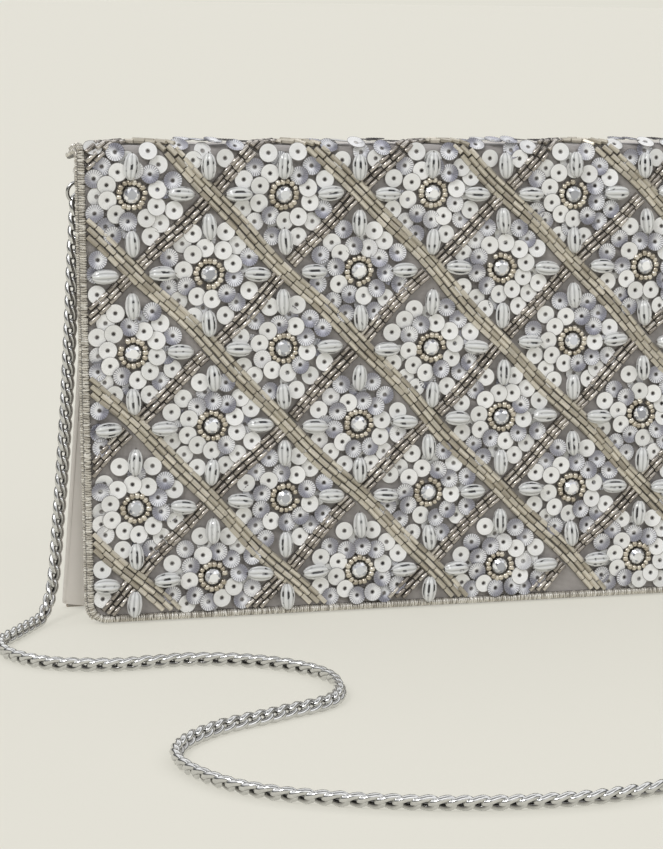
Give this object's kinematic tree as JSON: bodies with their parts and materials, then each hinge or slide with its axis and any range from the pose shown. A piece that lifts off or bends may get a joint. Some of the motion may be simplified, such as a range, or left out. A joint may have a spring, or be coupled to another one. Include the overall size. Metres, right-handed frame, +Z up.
{
  "type": "evening bag",
  "caption": "Beaded fold-over evening clutch with a hinged flap, folded side gussets, magnetic-style snap, D-rings and a chain strap.",
  "frame": {"origin": "on the ground in the middle of the bag's outline, chain left out", "axes": "+X along the bag to the viewer's right, the flap faces -Y, +Z up"},
  "size_m": [0.3024, 0.2336, 0.1516],
  "materials": {
    "satin": "pale warm-grey satin",
    "lining": "plain woven polyester lining",
    "board": "grey-brown pulp board",
    "flap_cloth": "grey-beige base cloth under the beads",
    "bead_cord": "champagne seed-bead cord",
    "bugle_glass": "silver-lined champagne bugle beads",
    "seed_glass": "champagne seed beads",
    "sequin_film": "pearl white film",
    "clear_acrylic": "clear fluted acrylic",
    "stone": "clear faceted stone",
    "dark_setting": "oxidised cup",
    "plated_steel": "bright nickel",
    "chain_metal": "bright rhodium-coloured plating"
  },
  "bodies": {
    "root": {"back_cover": "satin", "back_board": "board", "back_lining": "lining", "slip_pocket": "lining", "base_cover": "satin", "base_board": "board", "base_lining": "lining", "left_gusset": "satin", "right_gusset": "satin", "left_gusset_lining": "lining", "right_gusset_lining": "lining", "left_ring_tab": "satin", "right_ring_tab": "satin", "left_chain_ring": "plated_steel", "right_chain_ring": "plated_steel", "chain": "chain_metal"},
    "front_panel": {"front_cover": "satin", "front_board": "board", "front_lining": "lining", "snap_socket": "plated_steel", "socket_washer": "plated_steel"},
    "flap": {"flap_cover": "flap_cloth", "flap_board": "board", "flap_lining": "lining", "flap_fold": "flap_cloth", "snap_stud": "plated_steel", "stud_washer": "plated_steel", "edge_binding": "bead_cord", "fold_beading": "sequin_film", "bugle_bands_down": "bugle_glass", "bugle_bands_up": "bugle_glass", "sequins": "sequin_film", "oval_beads": "clear_acrylic", "seed_bead_rings": "seed_glass", "stone_cups": "dark_setting", "crystals": "stone"},
    "left_ring": {"left_d_ring": "plated_steel"},
    "right_ring": {"right_d_ring": "plated_steel"}
  },
  "joints": [
    {"name": "flap_open", "type": "hinge", "parent": "root", "child": "flap", "pos_m": [0, 0.006, 0.1499], "axis": [-1, 0, 0], "range_deg": [0, 210]},
    {"name": "front_lean", "type": "hinge", "parent": "root", "child": "front_panel", "pos_m": [0, -0.00737, 0.0038], "axis": [1, 0, 0], "range_deg": [0, 10]},
    {"name": "left_ring_swing", "type": "hinge", "parent": "root", "child": "left_ring", "pos_m": [-0.123, 0.0012, 0.142], "axis": [0, 1, 0], "range_deg": [-8, 8]},
    {"name": "right_ring_swing", "type": "hinge", "parent": "root", "child": "right_ring", "pos_m": [0.123, 0.0012, 0.142], "axis": [0, 1, 0], "range_deg": [-8, 8]}
  ],
  "couplings": [
    {"joint": "front_lean", "follows": "flap_open", "ratio": 0.04757}
  ]
}
